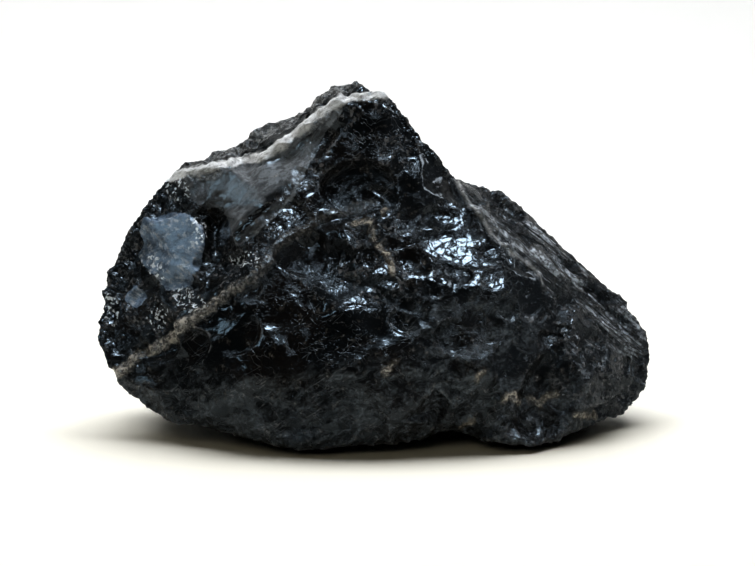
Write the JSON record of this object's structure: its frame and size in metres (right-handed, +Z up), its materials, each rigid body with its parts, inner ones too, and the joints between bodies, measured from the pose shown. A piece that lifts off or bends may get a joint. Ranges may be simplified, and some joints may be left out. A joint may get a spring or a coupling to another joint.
{
  "type": "raw morion quartz lump",
  "caption": "Rough lump of near-black smoky quartz with a peaked crest, glassy fracture facets, a long raised rib and a flat broken base; stands as a mineral specimen or set dressing.",
  "frame": {"origin": "middle of the lump's box at the bottom, on the surface it stands on", "axes": "+Z up, +X to the right along the lump's length, -Y out of the steep front, +Y out of the back"},
  "size_m": [0.1398, 0.069, 0.0856],
  "materials": {
    "morion": "near-black glassy stone, shiny on fresh fracture facets, duller grey and beige along bruised edges"
  },
  "bodies": {
    "root": {"morion_lump": "morion"}
  },
  "joints": []
}
